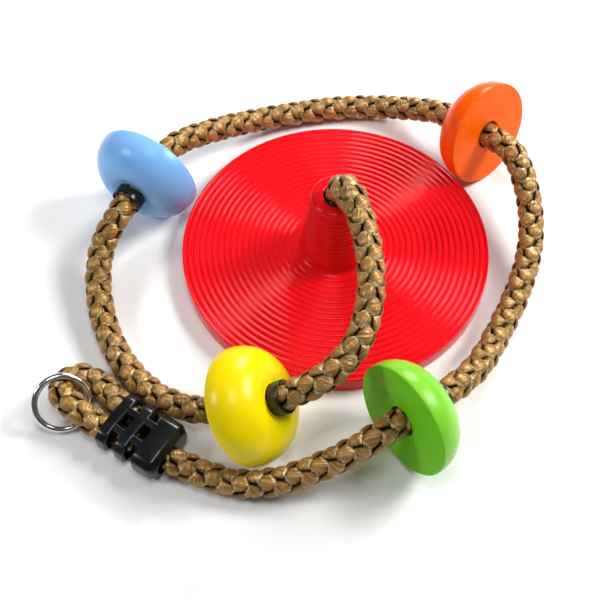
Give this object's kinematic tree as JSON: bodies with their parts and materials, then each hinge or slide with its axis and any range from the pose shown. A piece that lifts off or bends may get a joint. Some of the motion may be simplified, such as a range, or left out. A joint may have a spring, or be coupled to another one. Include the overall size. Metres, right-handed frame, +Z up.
{
  "type": "disc rope swing",
  "caption": "Disc seat with a ridged top and a central cone, threaded on a thick braided climbing rope with round wooden footholds, ending in a clamped eye with a steel ring.",
  "frame": {"origin": "centre of the seat disc's rim, at the level of the floor it stands on", "axes": "+Z up along the seat's own axis, +Y away from the viewer towards the rope's far arc, +X to the right"},
  "size_m": [0.4501, 0.432, 0.1276],
  "materials": {
    "seat_red": "glossy",
    "rope_gold": "silky braid",
    "moulded_black": "satin",
    "ring_steel": "polished",
    "wood_yellow": "painted satin",
    "wood_blue": "painted satin",
    "wood_orange": "painted satin",
    "wood_green": "painted satin"
  },
  "bodies": {
    "rope_assembly": {"rope": "rope_gold", "rope_knot": "rope_gold", "rope_clamp": "moulded_black", "collar_yellow": "moulded_black", "collar_blue": "moulded_black", "collar_orange": "moulded_black", "collar_green": "moulded_black"},
    "seat": {"seat_disc": "seat_red"},
    "foothold_yellow": {"foothold_yellow": "wood_yellow"},
    "foothold_blue": {"foothold_blue": "wood_blue"},
    "foothold_orange": {"foothold_orange": "wood_orange"},
    "foothold_green": {"foothold_green": "wood_green"},
    "ring": {"hanging_ring": "ring_steel"}
  },
  "joints": [
    {"name": "seat_spin", "type": "hinge", "parent": "rope_assembly", "child": "seat", "pos_m": [0, 0, 0.05], "axis": [0, 0, 1], "continuous": true},
    {"name": "yellow_spin", "type": "hinge", "parent": "rope_assembly", "child": "foothold_yellow", "pos_m": [-0.06527, -0.17843, 0.04993], "axis": [0.8016, -0.0729, 0.5934], "continuous": true},
    {"name": "blue_spin", "type": "hinge", "parent": "rope_assembly", "child": "foothold_blue", "pos_m": [-0.18089, 0.04871, 0.05098], "axis": [-0.4426, -0.8965, -0.0227], "continuous": true},
    {"name": "orange_spin", "type": "hinge", "parent": "rope_assembly", "child": "foothold_orange", "pos_m": [0.13716, 0.11844, 0.04616], "axis": [-0.6409, 0.721, -0.2632], "continuous": true},
    {"name": "green_spin", "type": "hinge", "parent": "rope_assembly", "child": "foothold_green", "pos_m": [0.06182, -0.18558, 0.04896], "axis": [0.8046, 0.578, -0.136], "continuous": true},
    {"name": "ring_swing", "type": "hinge", "parent": "rope_assembly", "child": "ring", "pos_m": [-0.2123, -0.1607, 0.0117], "axis": [0.4532, 0.7849, 0.4226], "range_deg": [0, 76]}
  ]
}
